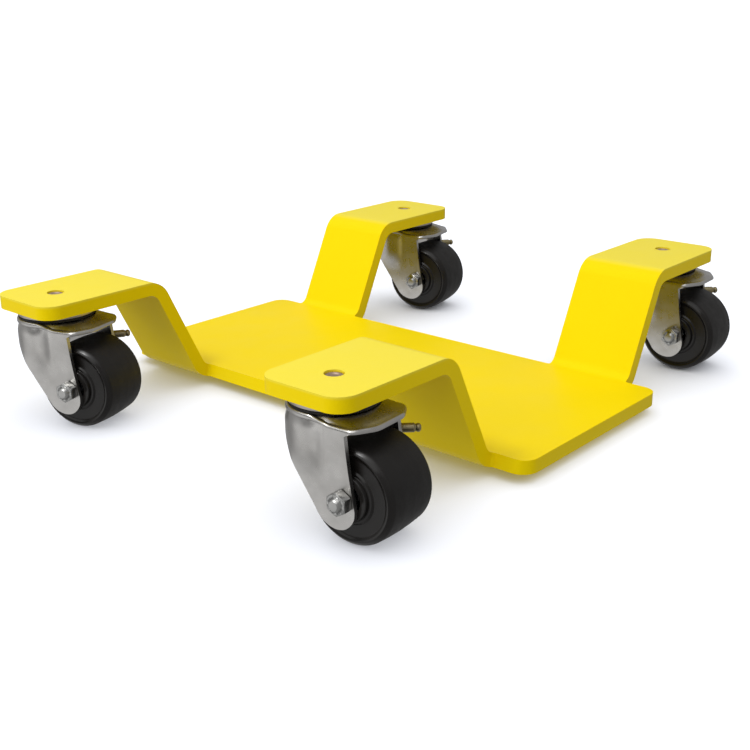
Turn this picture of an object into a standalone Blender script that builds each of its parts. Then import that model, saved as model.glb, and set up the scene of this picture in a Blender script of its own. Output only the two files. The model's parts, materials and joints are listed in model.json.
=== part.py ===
"""Wheel dolly: a bent steel plate on four low swivel casters.

The plate's low deck carries a tyre between four ramps, and each ramp ends in a
flat pad with a swivel caster under it. Lengths are in millimetres times MM, so
that Blender's units are metres. The origin is the middle of the deck's upper
face. +Z is up, X runs across the trough from the left casters to the right ones,
and Y runs along it from the front to the back. Heights are given above the floor.
"""
import math

import bmesh
import bpy
from mathutils import Matrix, Vector

MM = 0.001
CLEARANCE = 0.3 * MM            # gap kept between neighbouring pieces

# --- plate -------------------------------------------------------------------
PLATE_THICKNESS = 10.0 * MM
PAD_TOP = 96.0 * MM             # height of the pads' upper face
DECK_TOP = 17.0 * MM            # height of the deck's upper face
FLOOR = -DECK_TOP               # Z of the floor
RAMP_FOOT_X = 92.0 * MM         # where the deck's and the ramp's upper faces meet
RAMP_HEAD_X = 130.5 * MM        # where the ramp's and the pad's upper faces meet
BEND_RADIUS = 10.0 * MM         # inside radius of all four bends
BEND_FACETS = 5
PAD_END_X = 233.5 * MM          # free end of the pads
ARM_WIDTH = 68.0 * MM
DECK_HALF_WIDTH = 88.5 * MM     # deck edge between the arms, and sides of the lips
DECK_HALF_LENGTH = 202.0 * MM   # ends of the lips
PAD_CORNER_RADIUS = 14.0 * MM
LIP_CORNER_RADIUS = 12.0 * MM
ARM_ROOT_RADIUS = 2.5 * MM      # small fillet between an arm and the deck edge
STUD_HOLE_RADIUS = 6.3 * MM

# --- caster positions ----------------------------------------------------------
CASTER_X = 202.0 * MM
CASTER_Y = 140.0 * MM
# name: side of the plate in X and Y, and the heading in which the wheel trails
CASTERS = {
    "front_left": (-1, -1, math.radians(-85.7)),
    "back_left": (-1, 1, math.radians(-72.2)),
    "front_right": (1, -1, math.radians(-86.9)),
    "back_right": (1, 1, math.radians(-78.3)),
}

# --- wheel and axle ------------------------------------------------------------
WHEEL_RADIUS = 31.75 * MM
WHEEL_HALF_WIDTH = 23.0 * MM
TRAIL = 25.9 * MM               # axle's offset behind the swivel axis
HUB_HALF_LENGTH = 23.7 * MM
HUB_RADIUS = 14.0 * MM
WHEEL_BORE_RADIUS = 9.8 * MM
AXLE_RADIUS = 4.0 * MM          # M8 bolt
SLEEVE_RADIUS = 6.2 * MM
ROLLER_RADIUS = 1.5 * MM
ROLLER_COUNT = 8
ROLLER_HALF_LENGTH = 18.0 * MM

# --- fork ------------------------------------------------------------------------
FORK_HALF_WIDTH = 27.0 * MM     # outer face of a leg
FORK_THICKNESS = 3.0 * MM
CROWN_TOP = 80.5 * MM
CROWN_RADIUS = 29.5 * MM        # round back and sides of the crown
CROWN_FLAT_RADIUS = 26.0 * MM   # the crown's top slopes down outside this radius
CROWN_FALL = 0.284              # fall of that slope for each unit outwards
CROWN_FRONT_X = 41.5 * MM       # the crown's edge over the wheel
CROWN_RIM_BOTTOM = 73.5 * MM
CROWN_BACK_STEPS = 18
LEG_TOP = 77.4 * MM
LEG_BOTTOM_RADIUS = 13.2 * MM

# --- swivel bearing ---------------------------------------------------------------
PAD_UNDERSIDE = PAD_TOP - PLATE_THICKNESS
STUD_RADIUS = 6.0 * MM          # M12 kingpin stud
COLLAR_RADIUS = 8.0 * MM
COLLAR_BOTTOM = 72.4 * MM
TOP_RACE_RADIUS = 28.5 * MM
TOP_RACE_BOTTOM = 82.5 * MM
BALL_RADIUS = 2.0 * MM
BALL_COUNT = 6
UPPER_BALL_CIRCLE = 20.0 * MM
UPPER_BALL_Z = 81.5 * MM
LOWER_BALL_CIRCLE = 12.0 * MM
LOWER_BALL_Z = 75.9 * MM
LOWER_RACE_RADIUS = 16.5 * MM
LOWER_RACE_TOP = 74.6 * MM
LOWER_RACE_BOTTOM = 70.2 * MM
KINGPIN_NUT_BOTTOM = 63.9 * MM

# facets of a full turn, for large, middle and small turned pieces
STEPS_WHEEL = 24
STEPS_LARGE = 20
STEPS_MIDDLE = 16
STEPS_SMALL = 12
STEPS_FINE = 10


# --- scene and materials ------------------------------------------------------------

def clear_scene():
    for obj in list(bpy.data.objects):
        bpy.data.objects.remove(obj, do_unlink=True)


def new_collection(name):
    collection = bpy.data.collections.new(name)
    bpy.context.scene.collection.children.link(collection)
    return collection


def new_material(name, color, roughness, metallic):
    material = bpy.data.materials.new(name)
    material.use_nodes = True
    shader = material.node_tree.nodes["Principled BSDF"]
    shader.inputs["Base Color"].default_value = (*color, 1.0)
    shader.inputs["Roughness"].default_value = roughness
    shader.inputs["Metallic"].default_value = metallic
    return material


# --- mesh helpers ----------------------------------------------------------------

def fillet_outline(corners, segments=4):
    """Closed outline from (x, y, radius) corners, each rounded by a tangent arc."""
    points = []
    for index, (x, y, radius) in enumerate(corners):
        corner = Vector((x, y))
        if radius == 0:
            points.append(corner)
            continue
        before = Vector(corners[index - 1][:2])
        after = Vector(corners[(index + 1) % len(corners)][:2])
        to_before = (before - corner).normalized()
        to_after = (after - corner).normalized()
        half_angle = to_before.angle(to_after) / 2
        middle = (to_before + to_after).normalized()
        centre = corner + middle * (radius / math.sin(half_angle))
        start = corner + to_before * (radius / math.tan(half_angle)) - centre
        end = corner + to_after * (radius / math.tan(half_angle)) - centre
        turn = start.angle_signed(end)
        for step in range(segments + 1):
            arm = start.copy()
            arm.rotate(Matrix.Rotation(-turn * step / segments, 2))
            points.append(centre + arm)
    return points


def circle_outline(radius, steps, start=0.0, turn=2 * math.pi):
    return [
        Vector((radius * math.cos(start + turn * i / steps),
                radius * math.sin(start + turn * i / steps)))
        for i in range(steps)
    ]


def evaluated_mesh(obj, name):
    """The object's shape with its modifiers and its own placement, as a plain mesh."""
    depsgraph = bpy.context.evaluated_depsgraph_get()
    depsgraph.update()
    mesh = bpy.data.meshes.new_from_object(obj.evaluated_get(depsgraph))
    mesh.name = name
    mesh.transform(obj.matrix_world)
    bm = bmesh.new()
    bm.from_mesh(mesh)
    bmesh.ops.remove_doubles(bm, verts=bm.verts, dist=0.001 * MM)
    bmesh.ops.recalc_face_normals(bm, faces=bm.faces)
    bm.to_mesh(mesh)
    bm.free()
    bpy.data.objects.remove(obj, do_unlink=True)
    return mesh


def work_object(name, data):
    """An object for work in progress, in the cutters' collection."""
    obj = bpy.data.objects.new(name, data)
    cutters.objects.link(obj)
    obj.hide_render = True
    obj.display_type = "WIRE"
    return obj


def prism(name, outline, low, high):
    """A flat outline in XY, extruded from the low to the high Z."""
    curve = bpy.data.curves.new(name, "CURVE")
    curve.dimensions = "2D"
    curve.fill_mode = "BOTH"
    curve.extrude = (high - low) / 2
    spline = curve.splines.new("POLY")
    spline.points.add(len(outline) - 1)
    for point, place in zip(spline.points, outline):
        point.co = (place.x, place.y, 0.0, 1.0)
    spline.use_cyclic_u = True
    obj = work_object(name, curve)
    obj.location.z = (high + low) / 2
    bpy.context.view_layer.update()
    mesh = evaluated_mesh(obj, name)
    dissolve_flat_faces(mesh)
    return mesh


def dissolve_flat_faces(mesh):
    bm = bmesh.new()
    bm.from_mesh(mesh)
    bmesh.ops.dissolve_limit(bm, angle_limit=math.radians(0.5), verts=bm.verts, edges=bm.edges)
    bm.to_mesh(mesh)
    bm.free()


def turned(name, profile, steps, merge_axis=False):
    """A profile of (radius, z) points turned about Z, running down its outer side."""
    mesh = bpy.data.meshes.new(name)
    bm = bmesh.new()
    verts = [bm.verts.new((radius, 0.0, z)) for radius, z in profile]
    for first, second in zip(verts, verts[1:]):
        bm.edges.new((first, second))
    if not merge_axis:
        bm.edges.new((verts[-1], verts[0]))
    bm.to_mesh(mesh)
    bm.free()
    obj = work_object(name, mesh)
    screw = obj.modifiers.new("turn", "SCREW")
    screw.steps = steps
    screw.render_steps = steps
    screw.use_merge_vertices = True
    screw.merge_threshold = 0.0001 * MM
    bpy.context.view_layer.update()
    return evaluated_mesh(obj, name)


def turned_solid(name, profile, steps):
    """As turned, for a profile that starts and ends on the axis."""
    return turned(name, profile, steps, merge_axis=True)


def combine(name, mesh, other, operation):
    """Boolean of two meshes; the EXACT solver is Blender's default."""
    obj = work_object(name, mesh)
    cutter = work_object(name + "_cutter", other)
    boolean = obj.modifiers.new("combine", "BOOLEAN")
    boolean.operation = operation
    boolean.object = cutter
    bpy.context.view_layer.update()
    result = evaluated_mesh(obj, name)
    bpy.data.objects.remove(cutter, do_unlink=True)
    return result


def moved(mesh, matrix):
    copy = mesh.copy()
    copy.transform(matrix)
    return copy


def along_y(mesh):
    """Lay a piece that was made along Z down along Y."""
    return moved(mesh, Matrix.Rotation(math.radians(-90), 4, "X"))


def cylinder(radius, low, high, steps):
    return turned_solid("cylinder", [(0, high), (radius, high), (radius, low), (0, low)], steps)


def hexagon(name, across_flats, low, high):
    radius = across_flats / 2 / math.cos(math.radians(30))
    return prism(name, circle_outline(radius, 6), low, high)


def groove(circle, height, surface, facets=3):
    """Profile points of a ball groove cut into a flat surface, from its outer to its inner edge."""
    radius = BALL_RADIUS + CLEARANCE
    side = math.copysign(1, surface - height)
    rise = math.asin(abs(surface - height) / radius)
    points = []
    for step in range(facets + 1):
        angle = rise + (math.pi - 2 * rise) * step / facets
        points.append((circle + radius * math.cos(angle), height + side * radius * math.sin(angle)))
    return points


# --- plate ------------------------------------------------------------------------

def bend_line():
    """Stations along half the plate's middle surface: (developed length, x, z, angle)."""
    half = PLATE_THICKNESS / 2
    radius = BEND_RADIUS + half
    slope = math.atan2(PAD_TOP - DECK_TOP, RAMP_HEAD_X - RAMP_FOOT_X)
    shift = half * math.tan(slope / 2)
    tangent = radius * math.tan(slope / 2)
    foot = Vector((RAMP_FOOT_X + shift, DECK_TOP - half))
    head = Vector((RAMP_HEAD_X + shift, PAD_TOP - half))
    start = foot - Vector((tangent, 0))
    stations = [(start.x, start.x, start.y, 0.0)]
    for corner, turn in ((foot, slope), (head, -slope)):
        angle = stations[-1][3]
        entry = corner - tangent * Vector((math.cos(angle), math.sin(angle)))
        length = stations[-1][0] + (entry - Vector(stations[-1][1:3])).length
        if length > stations[-1][0] + 0.01 * MM:
            stations.append((length, entry.x, entry.y, angle))
        side = math.copysign(1, turn)
        centre = entry + side * radius * Vector((-math.sin(angle), math.cos(angle)))
        for step in range(1, BEND_FACETS + 1):
            now = angle + turn * step / BEND_FACETS
            place = centre - side * radius * Vector((-math.sin(now), math.cos(now)))
            arc = abs(turn) * radius * step / BEND_FACETS
            stations.append((length + arc, place.x, place.y, now))
    last = stations[-1]
    stations.append((last[0] + PAD_END_X - last[1], PAD_END_X, last[2], 0.0))
    return stations


def bent(point, stations):
    """Move a point of the flat blank (developed x, y, height off the middle) to its bent place."""
    side = math.copysign(1, point.x)
    length = abs(point.x)
    first = (0.0, 0.0, stations[0][2], 0.0)
    line = [first] + stations
    for before, after in zip(line, line[1:]):
        if length <= after[0] + 0.001 * MM:
            break
    share = min((length - before[0]) / (after[0] - before[0]), 1.0)
    ends = []
    for _, x, z, angle in (before, after):
        ends.append(Vector((x - point.z * math.sin(angle), z + point.z * math.cos(angle))))
    place = ends[0].lerp(ends[1], share)
    return Vector((side * place.x, point.y, place.y))


def plate_mesh():
    stations = bend_line()
    end = stations[-1][0]
    inner = CASTER_Y - ARM_WIDTH / 2
    outer = CASTER_Y + ARM_WIDTH / 2
    quarter = [
        (DECK_HALF_WIDTH, inner, ARM_ROOT_RADIUS),
        (end, inner, PAD_CORNER_RADIUS),
        (end, outer, PAD_CORNER_RADIUS),
        (DECK_HALF_WIDTH, outer, ARM_ROOT_RADIUS),
        (DECK_HALF_WIDTH, DECK_HALF_LENGTH, LIP_CORNER_RADIUS),
    ]
    corners = quarter + [(-x, y, r) for x, y, r in reversed(quarter)]
    corners += [(-x, -y, r) for x, y, r in quarter]
    corners += [(x, -y, r) for x, y, r in reversed(quarter)]
    outline = fillet_outline(corners)
    half = PLATE_THICKNESS / 2
    mesh = prism("bent_plate", outline, -half, half)
    bm = bmesh.new()
    bm.from_mesh(mesh)
    for station in stations[:-1]:
        for side in (1, -1):
            geometry = bm.verts[:] + bm.edges[:] + bm.faces[:]
            bmesh.ops.bisect_plane(bm, geom=geometry, dist=0.001 * MM,
                                   plane_co=(side * station[0], 0, 0), plane_no=(1, 0, 0))
    for vert in bm.verts:
        vert.co = bent(vert.co, stations)
    bmesh.ops.remove_doubles(bm, verts=bm.verts, dist=0.001 * MM)
    bm.to_mesh(mesh)
    bm.free()
    for side_x in (1, -1):
        for side_y in (1, -1):
            place = Matrix.Translation((side_x * CASTER_X, side_y * CASTER_Y, 0))
            hole = cylinder(STUD_HOLE_RADIUS, PAD_UNDERSIDE - 5 * MM, PAD_TOP + 5 * MM, STEPS_MIDDLE)
            mesh = combine("bent_plate", mesh, moved(hole, place), "DIFFERENCE")
    return moved(mesh, Matrix.Translation((0, 0, FLOOR)))


# --- caster pieces: swivel axis on Z, wheel trailing to +X, heights above the floor ------

def kingpin_mesh():
    chamfer = 0.8 * MM
    top = PAD_TOP - 1.0 * MM
    shoulder = PAD_UNDERSIDE - CLEARANCE
    bottom = 62.5 * MM
    profile = [
        (0, top), (STUD_RADIUS - chamfer, top), (STUD_RADIUS, top - chamfer),
        (STUD_RADIUS, shoulder), (COLLAR_RADIUS, shoulder), (COLLAR_RADIUS, COLLAR_BOTTOM),
        (STUD_RADIUS, COLLAR_BOTTOM), (STUD_RADIUS, bottom + chamfer),
        (STUD_RADIUS - chamfer, bottom), (0, bottom),
    ]
    return turned_solid("kingpin", profile, STEPS_FINE)


def top_race_mesh():
    top = PAD_UNDERSIDE - CLEARANCE
    bore = COLLAR_RADIUS + CLEARANCE
    profile = [(bore, top), (TOP_RACE_RADIUS, top), (TOP_RACE_RADIUS, TOP_RACE_BOTTOM)]
    profile += groove(UPPER_BALL_CIRCLE, UPPER_BALL_Z, TOP_RACE_BOTTOM)
    profile += [(bore, TOP_RACE_BOTTOM)]
    return turned("top_race", profile, STEPS_LARGE)


def dust_seal_mesh():
    """Ring under the top race, with a lip that follows the crown's slope."""
    inner, outer = 24.5 * MM, 28.3 * MM
    top, bottom = TOP_RACE_BOTTOM - CLEARANCE, CROWN_TOP + CLEARANCE
    lip = bottom - CROWN_FALL * (outer - CROWN_FLAT_RADIUS)
    return turned("dust_seal", [(inner, top), (outer, top), (outer, lip),
                                (CROWN_FLAT_RADIUS, bottom), (inner, bottom)], STEPS_LARGE)


def ball_ring_mesh(name, circle, height, steps):
    """A cage ring with its balls, which it holds."""
    half_width, half_height = 1.4 * MM, 0.6 * MM
    mesh = turned(name, [
        (circle - half_width, height + half_height), (circle + half_width, height + half_height),
        (circle + half_width, height - half_height), (circle - half_width, height - half_height),
    ], steps)
    for index in range(BALL_COUNT):
        ball = bpy.data.meshes.new("ball")
        bm = bmesh.new()
        bmesh.ops.create_uvsphere(bm, u_segments=6, v_segments=4, radius=BALL_RADIUS)
        bm.to_mesh(ball)
        bm.free()
        angle = 2 * math.pi * (index + 0.25) / BALL_COUNT
        turn = Matrix.Rotation(angle, 4, "Z") @ Matrix.Translation((circle, 0, height))
        mesh = combine(name, mesh, moved(ball, turn), "UNION")
    return mesh


def lower_race_mesh():
    bore = COLLAR_RADIUS + CLEARANCE
    ledge = COLLAR_BOTTOM - CLEARANCE
    nut_bore = STUD_RADIUS + CLEARANCE
    profile = [(bore, LOWER_RACE_TOP)]
    profile += reversed(groove(LOWER_BALL_CIRCLE, LOWER_BALL_Z, LOWER_RACE_TOP))
    profile += [
        (LOWER_RACE_RADIUS, LOWER_RACE_TOP), (LOWER_RACE_RADIUS, LOWER_RACE_BOTTOM),
        (nut_bore, LOWER_RACE_BOTTOM), (nut_bore, ledge), (bore, ledge),
    ]
    return turned("lower_race", profile, STEPS_MIDDLE)


def nut_mesh(name, across_flats, low, high, thread_radius):
    body = hexagon(name, across_flats, low, high)
    bore = cylinder(thread_radius + CLEARANCE, low - 1 * MM, high + 1 * MM, STEPS_FINE)
    return combine(name, body, bore, "DIFFERENCE")


def back_arc(inset):
    """Points round the back of the crown, from one leg's flat to the other's."""
    radius = CROWN_RADIUS - inset
    start = math.asin((FORK_HALF_WIDTH - inset) / radius)
    arc = circle_outline(radius, CROWN_BACK_STEPS, start=start, turn=2 * (math.pi - start))
    return arc + [Vector((arc[0].x, -arc[0].y))]


def crown_outline(inset):
    """Round at the back, straight at the legs, and bulging over the wheel in front."""
    arc = back_arc(inset)
    half_width = FORK_HALF_WIDTH - inset
    shoulder = (33.0 * MM - 0.56 * inset, 9.0 * MM - inset)
    corner = (CROWN_FRONT_X - inset, 13.0 * MM - 0.28 * inset, 14.0 * MM - inset)
    front = fillet_outline([
        (arc[-1].x, arc[-1].y, 0.0),
        (shoulder[0], -half_width, shoulder[1]),
        (corner[0], -corner[1], corner[2]),
        (corner[0], corner[1], corner[2]),
        (shoulder[0], half_width, shoulder[1]),
        (arc[0].x, arc[0].y, 0.0),
    ], segments=3)
    return arc + front[1:-1]


def crown_dome(drop):
    """Solid under the crown's upper face (or its lower face): flat, then sloping down."""
    reach = 46.0 * MM
    top = CROWN_TOP - drop
    edge = top - CROWN_FALL * (reach - CROWN_FLAT_RADIUS)
    return turned_solid("dome", [(0, top), (CROWN_FLAT_RADIUS, top), (reach, edge),
                                 (reach, 60 * MM), (0, 60 * MM)], STEPS_LARGE)


def leg_side_outline():
    """Side view of a leg in (x, z): trailing edge, round foot, swept leading edge."""
    foot_x, foot_z = 21.2 * MM, 25.6 * MM
    foot = [
        Vector((foot_x + LEG_BOTTOM_RADIUS * math.cos(math.radians(angle)),
                foot_z + LEG_BOTTOM_RADIUS * math.sin(math.radians(angle))))
        for angle in range(5, -146, -15)
    ]
    trailing = [Vector((x * MM, z * MM)) for x, z in ((27.6, 71), (28.6, 62), (31.2, 44), (33.4, 32))]
    leading = [Vector((x * MM, z * MM)) for x, z in
               ((3.7, 25.4), (-8.1, 42.5), (-14.5, 53), (-18.5, 58), (-23.4, 63.5), (-30.5, 73.2))]
    back = leading[-1].x
    return [Vector((trailing[0].x, LEG_TOP))] + trailing + foot + leading + [Vector((back, LEG_TOP))]


def fork_mesh():
    crown = prism("fork", crown_outline(0.0), CROWN_RIM_BOTTOM, CROWN_TOP + 2 * MM)
    crown = combine("fork", crown, crown_dome(0.0), "INTERSECT")
    dissolve_flat_faces(crown)
    bm = bmesh.new()
    bm.from_mesh(crown)
    rim = []
    for edge in bm.edges:
        rises = sorted(face.normal.z for face in edge.link_faces)
        if rises[-1] > 0.8 and abs(rises[0]) < 0.1:
            rim.append(edge)
    bmesh.ops.bevel(bm, geom=rim, offset=1.6 * MM, segments=2, profile=0.5, affect="EDGES")
    bm.to_mesh(crown)
    bm.free()
    plate_bottom = CROWN_TOP - FORK_THICKNESS
    hollow = prism("hollow", crown_outline(FORK_THICKNESS), CROWN_RIM_BOTTOM - 5 * MM, CROWN_TOP)
    hollow = combine("hollow", hollow, crown_dome(FORK_THICKNESS), "INTERSECT")
    crown = combine("fork", crown, hollow, "DIFFERENCE")

    reach = 45.0 * MM
    skins = []
    for inset, length in ((0.0, reach), (FORK_THICKNESS, reach + 5 * MM)):
        half_width = FORK_HALF_WIDTH - inset
        skins.append(back_arc(inset) + [Vector((length, -half_width)), Vector((length, half_width))])
    legs = prism("legs", skins[0], 5 * MM, LEG_TOP)
    legs = combine("legs", legs, prism("between", skins[1], 0, CROWN_TOP), "DIFFERENCE")
    side = prism("side", leg_side_outline(), -40 * MM, 40 * MM)
    upright = Matrix.Rotation(math.radians(90), 4, "X")
    legs = combine("legs", legs, moved(side, upright), "INTERSECT")

    fork = combine("fork", crown, legs, "UNION")
    bore = cylinder(COLLAR_RADIUS + CLEARANCE, 60 * MM, 90 * MM, STEPS_MIDDLE)
    fork = combine("fork", fork, bore, "DIFFERENCE")
    upper = groove(UPPER_BALL_CIRCLE, UPPER_BALL_Z, CROWN_TOP)
    above = CROWN_TOP + 1 * MM
    ring = [(upper[-1][0], above), (upper[0][0], above)] + upper
    fork = combine("fork", fork, turned("groove", ring, STEPS_MIDDLE), "DIFFERENCE")
    lower = groove(LOWER_BALL_CIRCLE, LOWER_BALL_Z, plate_bottom)
    below = plate_bottom - 1 * MM
    ring = [(lower[0][0], below), (lower[-1][0], below)] + list(reversed(lower))
    fork = combine("fork", fork, turned("groove", ring, STEPS_SMALL), "DIFFERENCE")
    axle = along_y(cylinder(AXLE_RADIUS + CLEARANCE, -40 * MM, 40 * MM, STEPS_SMALL))
    fork = combine("fork", fork, moved(axle, Matrix.Translation((TRAIL, 0, WHEEL_RADIUS))),
                   "DIFFERENCE")
    shank = along_y(cylinder(NIPPLE_SHANK_RADIUS + CLEARANCE, 0, 40 * MM, STEPS_FINE))
    fork = combine("fork", fork, moved(shank, Matrix.Translation(NIPPLE_PLACE)), "DIFFERENCE")
    dissolve_flat_faces(fork)
    return fork


NIPPLE_SHANK_RADIUS = 2.4 * MM
NIPPLE_PLACE = Vector((24.8 * MM, 0.0, 57.5 * MM))
NIPPLE_LENGTH = 13.5 * MM       # of the slanting head
NIPPLE_SLANT = math.radians(51)


def grease_nipple_mesh():
    """Elbow fitting: shank in the +Y leg, round base, and a head slanting outwards."""
    face = FORK_HALF_WIDTH
    radius = 3.4 * MM
    base = turned_solid("grease_nipple", [
        (0, face + 3.6 * MM), (radius, face + 3.6 * MM), (radius, face + CLEARANCE),
        (NIPPLE_SHANK_RADIUS, face + CLEARANCE), (NIPPLE_SHANK_RADIUS, face - 2.6 * MM),
        (0, face - 2.6 * MM),
    ], 8)
    base = moved(along_y(base), Matrix.Translation(NIPPLE_PLACE))
    length = NIPPLE_LENGTH
    head = turned_solid("head", [
        (0, length), (1.5 * MM, length), (2.6 * MM, length - 1.8 * MM), (2.3 * MM, length - 3.6 * MM),
        (2.9 * MM, length - 5 * MM), (2.9 * MM, -1.2 * MM), (0, -1.2 * MM),
    ], 8)
    slant = Matrix.Rotation(-NIPPLE_SLANT, 4, "Z") @ Matrix.Rotation(math.radians(-90), 4, "X")
    start = Matrix.Translation(NIPPLE_PLACE + Vector((0, face + 3.0 * MM, 0)))
    return combine("grease_nipple", base, moved(head, start @ slant), "UNION")


# --- axle pieces: axle on Y, centre of the wheel at the origin -------------------------

def wheel_mesh():
    """Crowned tread, round shoulders, and a dished face with a rim and a stepped hub."""
    edge = WHEEL_HALF_WIDTH
    half = [
        (WHEEL_BORE_RADIUS, HUB_HALF_LENGTH), (HUB_RADIUS, HUB_HALF_LENGTH),
        (HUB_RADIUS + 1.0 * MM, edge - 2.2 * MM), (16.6 * MM, edge - 2.2 * MM),
        (18.4 * MM, edge - 3.2 * MM), (24.0 * MM, edge - 3.2 * MM),
        (25.4 * MM, edge - 1.4 * MM), (28.4 * MM, edge - 1.4 * MM),
        (30.6 * MM, edge - 4.0 * MM), (31.3 * MM, edge - 11.0 * MM), (WHEEL_RADIUS, 3.0 * MM),
    ]
    profile = half + [(radius, -z) for radius, z in reversed(half)]
    return along_y(turned("wheel", profile, STEPS_WHEEL))


def axle_sleeve_mesh():
    inner = AXLE_RADIUS + CLEARANCE
    half = HUB_HALF_LENGTH
    return along_y(turned("axle_sleeve", [(inner, half), (SLEEVE_RADIUS, half),
                                          (SLEEVE_RADIUS, -half), (inner, -half)], STEPS_FINE))


def roller_bearing_mesh():
    """Rollers held in a cage, as one ring whose thickness swells at each roller."""
    pitch = (SLEEVE_RADIUS + WHEEL_BORE_RADIUS) / 2
    cage_half = 0.6 * MM
    samples = ROLLER_COUNT * 4
    halves = []
    for index in range(samples):
        from_roller = abs((index % 4 + 2) % 4 - 2) * 2 * math.pi / samples * pitch
        swell = ROLLER_RADIUS ** 2 - from_roller ** 2
        halves.append(max(math.sqrt(swell) if swell > 0 else 0, cage_half))
    turn = 2 * math.pi / samples
    rings = []
    for side in (1, -1):
        rings.append([
            Vector(((pitch + side * half) * math.cos(turn * i), (pitch + side * half) * math.sin(turn * i)))
            for i, half in enumerate(halves)
        ])
    body = prism("roller_bearing", rings[0], -ROLLER_HALF_LENGTH, ROLLER_HALF_LENGTH)
    hole = prism("hole", rings[1], -ROLLER_HALF_LENGTH - 1 * MM, ROLLER_HALF_LENGTH + 1 * MM)
    return along_y(combine("roller_bearing", body, hole, "DIFFERENCE"))


def axle_bolt_mesh():
    """M8 bolt: head outside the +Y leg, thread end outside the -Y leg."""
    face = FORK_HALF_WIDTH + CLEARANCE
    end = -36.5 * MM
    head = hexagon("axle_bolt", 13.0 * MM, face, face + 5.3 * MM)
    shank = turned_solid("shank", [
        (0, face + 1 * MM), (AXLE_RADIUS, face + 1 * MM), (AXLE_RADIUS, end + 0.8 * MM),
        (AXLE_RADIUS - 0.8 * MM, end), (0, end),
    ], STEPS_FINE)
    return along_y(combine("axle_bolt", head, shank, "UNION"))


def axle_nut_mesh():
    face = FORK_HALF_WIDTH + CLEARANCE
    return along_y(nut_mesh("axle_nut", 13.0 * MM, -face - 6.5 * MM, -face, AXLE_RADIUS))


# --- assembly ---------------------------------------------------------------------------

def add_piece(name, mesh, material, parent=None):
    mesh.materials.clear()
    mesh.materials.append(material)
    mesh.shade_smooth()
    mesh.set_sharp_from_angle(angle=math.radians(35))
    obj = bpy.data.objects.new(name, mesh)
    dolly.objects.link(obj)
    obj.parent = parent
    return obj


def add_empty(name, parent, location, heading=0.0):
    empty = bpy.data.objects.new(name, None)
    dolly.objects.link(empty)
    empty.parent = parent
    empty.location = location
    empty.rotation_euler.z = heading
    return empty


clear_scene()
dolly = new_collection("wheel_dolly")
cutters = new_collection("cutters")

yellow_coat = new_material("yellow_coat", (0.92, 0.72, 0.02), 0.42, 0.0)
zinc_steel = new_material("zinc_steel", (0.55, 0.54, 0.52), 0.35, 1.0)
bearing_steel = new_material("bearing_steel", (0.62, 0.62, 0.63), 0.2, 1.0)
stud_steel = new_material("stud_steel", (0.52, 0.42, 0.32), 0.45, 1.0)
seal_rubber = new_material("seal_rubber", (0.02, 0.02, 0.02), 0.7, 0.0)
wheel_black = new_material("wheel_black", (0.02, 0.018, 0.017), 0.45, 0.0)

add_piece("bent_plate", plate_mesh(), yellow_coat)

# piece: mesh, material, and whether it is placed from the axle's centre
caster_pieces = {
    "kingpin": (kingpin_mesh(), stud_steel, False),
    "top_race": (top_race_mesh(), zinc_steel, False),
    "dust_seal": (dust_seal_mesh(), seal_rubber, False),
    "upper_ball_ring": (ball_ring_mesh("upper_ball_ring", UPPER_BALL_CIRCLE, UPPER_BALL_Z,
                                       STEPS_SMALL), bearing_steel, False),
    "lower_ball_ring": (ball_ring_mesh("lower_ball_ring", LOWER_BALL_CIRCLE, LOWER_BALL_Z,
                                       STEPS_SMALL), bearing_steel, False),
    "lower_race": (lower_race_mesh(), zinc_steel, False),
    "kingpin_nut": (nut_mesh("kingpin_nut", 18.0 * MM, KINGPIN_NUT_BOTTOM,
                             LOWER_RACE_BOTTOM - CLEARANCE, STUD_RADIUS), zinc_steel, False),
    "fork": (fork_mesh(), zinc_steel, False),
    "grease_nipple": (grease_nipple_mesh(), stud_steel, False),
    "wheel": (wheel_mesh(), wheel_black, True),
    "roller_bearing": (roller_bearing_mesh(), bearing_steel, True),
    "axle_sleeve": (axle_sleeve_mesh(), bearing_steel, True),
    "axle_bolt": (axle_bolt_mesh(), zinc_steel, True),
    "axle_nut": (axle_nut_mesh(), zinc_steel, True),
}

for corner, (side_x, side_y, heading) in CASTERS.items():
    swivel_place = Vector((side_x * CASTER_X, side_y * CASTER_Y, FLOOR))
    swivel = add_empty("swivel_" + corner, None, swivel_place, heading)
    axle = add_empty("axle_" + corner, swivel, Vector((TRAIL, 0, WHEEL_RADIUS)))
    for piece, (mesh, material, on_axle) in caster_pieces.items():
        add_piece(f"{piece}_{corner}", mesh, material, axle if on_axle else swivel)

bpy.context.view_layer.update()
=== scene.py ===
"""Looks of the wheel dolly: a powder-coated bent plate on four zinc-plated swivel casters.

Lengths are in metres, written as millimetres times MM, in the CAD model's frame: the
origin is the middle of the deck's upper face, +Z is up, and the floor lies at Z = FLOOR.
Pieces of a caster are made in its own frame: swivel axis on Z with the floor at 0, and the
wheel trailing towards +X. Pieces of an axle are made with the axle along +Z.
"""
import json
import math

import bmesh
import bpy
from mathutils import Matrix, Vector

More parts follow.
